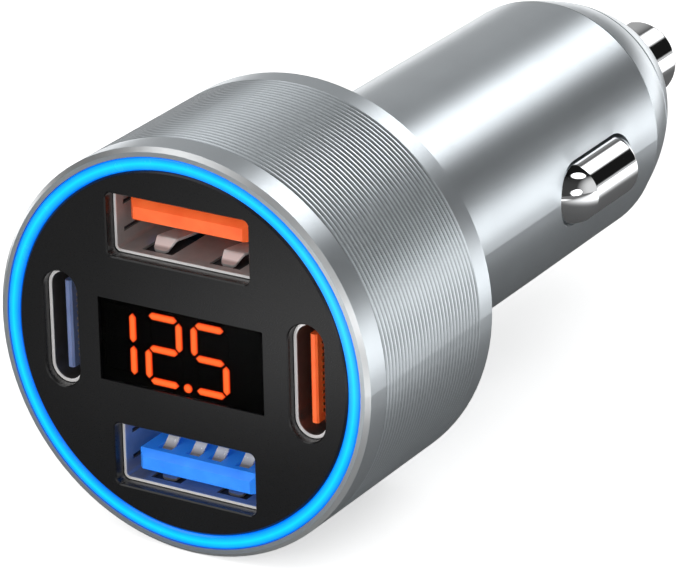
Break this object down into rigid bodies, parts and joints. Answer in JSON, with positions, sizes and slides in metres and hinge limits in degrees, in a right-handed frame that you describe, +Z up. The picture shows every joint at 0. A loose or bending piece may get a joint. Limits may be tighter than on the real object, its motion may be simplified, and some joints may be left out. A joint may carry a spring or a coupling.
{
  "type": "car charger plug",
  "caption": "Round aluminium car charger plug with a grooved head, glowing ring, black face with charging ports and a readout, and a sprung tip and side contacts.",
  "frame": {"origin": "on the plug's axis at the shoulder, where the head meets the barrel and the socket's mouth comes to rest", "axes": "+Y along the plug's axis towards the tip contact, -Y out of the face, +Z up as the readout is read"},
  "size_m": [0.033, 0.075, 0.033],
  "materials": {
    "satin_aluminium": "satin, turned",
    "chrome": "bright plated",
    "spring_steel": "drawn wire",
    "brass_strip": "plain strip",
    "black_bush": "moulded",
    "dark_moulding": "moulded",
    "circuit_board": "solder mask",
    "ferrite": "pressed ferrite",
    "capacitor_sleeve": "shrunk sleeve",
    "chip_moulding": "moulded",
    "screw_steel": "zinc plated",
    "glowing_ring": "translucent, lit from behind",
    "blue_diode": "clear resin, lit",
    "black_face": "satin moulded",
    "dark_window": "dark clear pane",
    "display_body": "moulded",
    "lit_bar": "lit",
    "dark_bar": "unlit",
    "port_steel": "folded sheet",
    "small_port_steel": "drawn sheet",
    "orange_tongue": "moulded",
    "blue_tongue": "moulded",
    "slate_tongue": "moulded",
    "plated_contact": "plated",
    "gold_pad": "plated"
  },
  "bodies": {
    "plug": {"housing": "satin_aluminium", "nose_cap": "satin_aluminium", "tip_insulator": "black_bush", "tip_spring": "spring_steel", "tip_terminal": "brass_strip", "contact_carrier": "dark_moulding", "ground_spring_right": "spring_steel", "ground_spring_left": "spring_steel", "ground_terminal_right": "brass_strip", "ground_terminal_left": "brass_strip", "main_board": "circuit_board", "inductor": "ferrite", "input_capacitor": "capacitor_sleeve", "output_capacitor": "capacitor_sleeve", "power_chip_large": "chip_moulding", "power_chip_small": "chip_moulding", "port_board": "circuit_board", "port_chip": "chip_moulding", "board_screws": "screw_steel", "port_frame": "dark_moulding", "light_ring": "glowing_ring", "blue_led_1": "blue_diode", "blue_led_2": "blue_diode", "blue_led_3": "blue_diode", "blue_led_4": "blue_diode", "blue_led_5": "blue_diode", "blue_led_6": "blue_diode", "blue_led_7": "blue_diode", "blue_led_8": "blue_diode", "face_plate": "black_face", "display_window": "dark_window", "display_module": "display_body", "lit_segments": "lit_bar", "dark_segments": "dark_bar", "upper_port_shell": "port_steel", "upper_port_tongue": "orange_tongue", "upper_port_contacts": "plated_contact", "lower_port_shell": "port_steel", "lower_port_tongue": "blue_tongue", "lower_port_contacts": "plated_contact", "left_port_shell": "small_port_steel", "left_port_tongue": "slate_tongue", "left_port_pads": "gold_pad", "right_port_shell": "small_port_steel", "right_port_tongue": "orange_tongue", "right_port_pads": "gold_pad"},
    "tip_contact": {"centre_contact": "chrome"},
    "right_contact": {"ground_contact_right": "chrome"},
    "left_contact": {"ground_contact_left": "chrome"}
  },
  "joints": [
    {"name": "tip_contact_press", "type": "slide", "parent": "plug", "child": "tip_contact", "axis": [0, 1, 0], "range_m": [-0.0035, 0], "stiffness_N_per_m": 900, "springref_m": 0.001, "deforming": ["tip_spring"]},
    {"name": "right_contact_press", "type": "slide", "parent": "plug", "child": "right_contact", "axis": [1, 0, 0], "range_m": [-0.002, 0], "stiffness_N_per_m": 500, "springref_m": 0.0003, "deforming": ["ground_spring_right"]},
    {"name": "left_contact_press", "type": "slide", "parent": "plug", "child": "left_contact", "axis": [-1, 0, 0], "range_m": [-0.002, 0], "stiffness_N_per_m": 500, "springref_m": 0.0003, "deforming": ["ground_spring_left"]}
  ]
}
